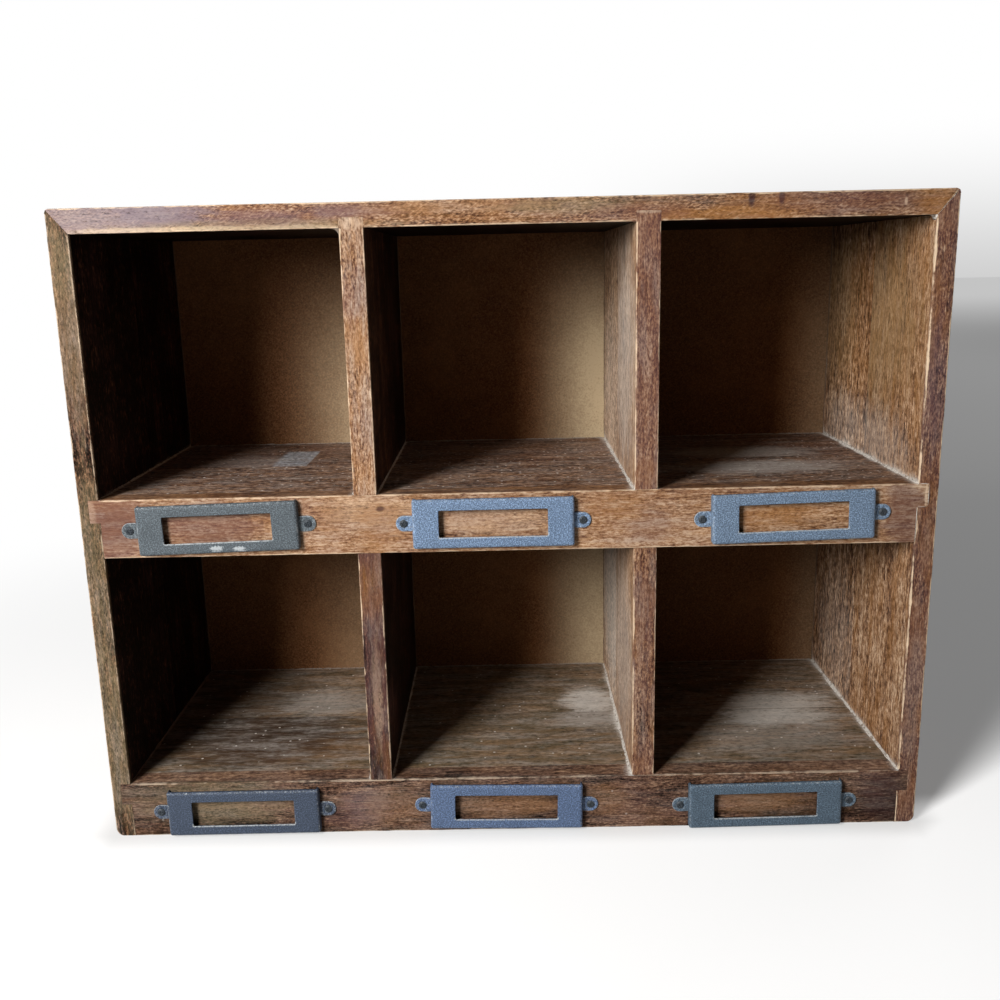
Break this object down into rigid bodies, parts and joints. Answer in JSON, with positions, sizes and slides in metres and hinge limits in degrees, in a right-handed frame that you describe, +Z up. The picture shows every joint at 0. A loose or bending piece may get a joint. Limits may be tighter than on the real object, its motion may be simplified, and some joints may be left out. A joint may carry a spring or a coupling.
{
  "type": "cubby shelf",
  "caption": "Small open wooden pigeonhole shelf with two rows of square cubbies and a pressed metal label holder under each one.",
  "frame": {"origin": "middle of the footprint on the floor, with the label holders' thickness counted in the depth", "axes": "+X left to right, +Y from the open front to the back panel, +Z up"},
  "size_m": [0.406, 0.156, 0.309],
  "materials": {
    "top_board_wood": "red-brown stained hardwood, satin, with pale worn arrises",
    "side_wood": "red-brown stained hardwood, satin, with pale worn arrises and dusty corners",
    "shelf_wood": "dark brown stained hardwood with whitish haze and dust",
    "divider_wood": "purple-brown stained hardwood with pale worn front arrises",
    "rail_wood": "red-brown stained hardwood, blotched with yellow-brown, worn arrises",
    "back_panel_board": "olive-brown hardboard sheet, matt and faintly fibrous",
    "label_holder_paint": "dark blue-grey textured paint on pressed steel, scuffed pale at the edges",
    "label_screw_metal": "dark painted small screws, worn bright on the slots",
    "nail_steel": "plain dull steel"
  },
  "bodies": {
    "root": {"top_board_front_stave": "top_board_wood", "top_board_back_stave": "top_board_wood", "left_side_front_stave": "side_wood", "left_side_back_stave": "side_wood", "right_side_front_stave": "side_wood", "right_side_back_stave": "side_wood", "middle_shelf_front_stave": "shelf_wood", "middle_shelf_back_stave": "shelf_wood", "bottom_shelf_front_stave": "shelf_wood", "bottom_shelf_back_stave": "shelf_wood", "upper_left_divider_front_stave": "divider_wood", "upper_left_divider_back_stave": "divider_wood", "upper_right_divider_front_stave": "divider_wood", "upper_right_divider_back_stave": "divider_wood", "lower_left_divider_front_stave": "divider_wood", "lower_left_divider_back_stave": "divider_wood", "lower_right_divider_front_stave": "divider_wood", "lower_right_divider_back_stave": "divider_wood", "middle_rail": "rail_wood", "bottom_rail": "rail_wood", "back_panel": "back_panel_board", "upper_left_label_holder": "label_holder_paint", "upper_middle_label_holder": "label_holder_paint", "upper_right_label_holder": "label_holder_paint", "lower_left_label_holder": "label_holder_paint", "lower_middle_label_holder": "label_holder_paint", "lower_right_label_holder": "label_holder_paint", "upper_left_label_screws": "label_screw_metal", "upper_middle_label_screws": "label_screw_metal", "upper_right_label_screws": "label_screw_metal", "lower_left_label_screws": "label_screw_metal", "lower_middle_label_screws": "label_screw_metal", "lower_right_label_screws": "label_screw_metal", "back_panel_nails": "nail_steel"}
  },
  "joints": []
}
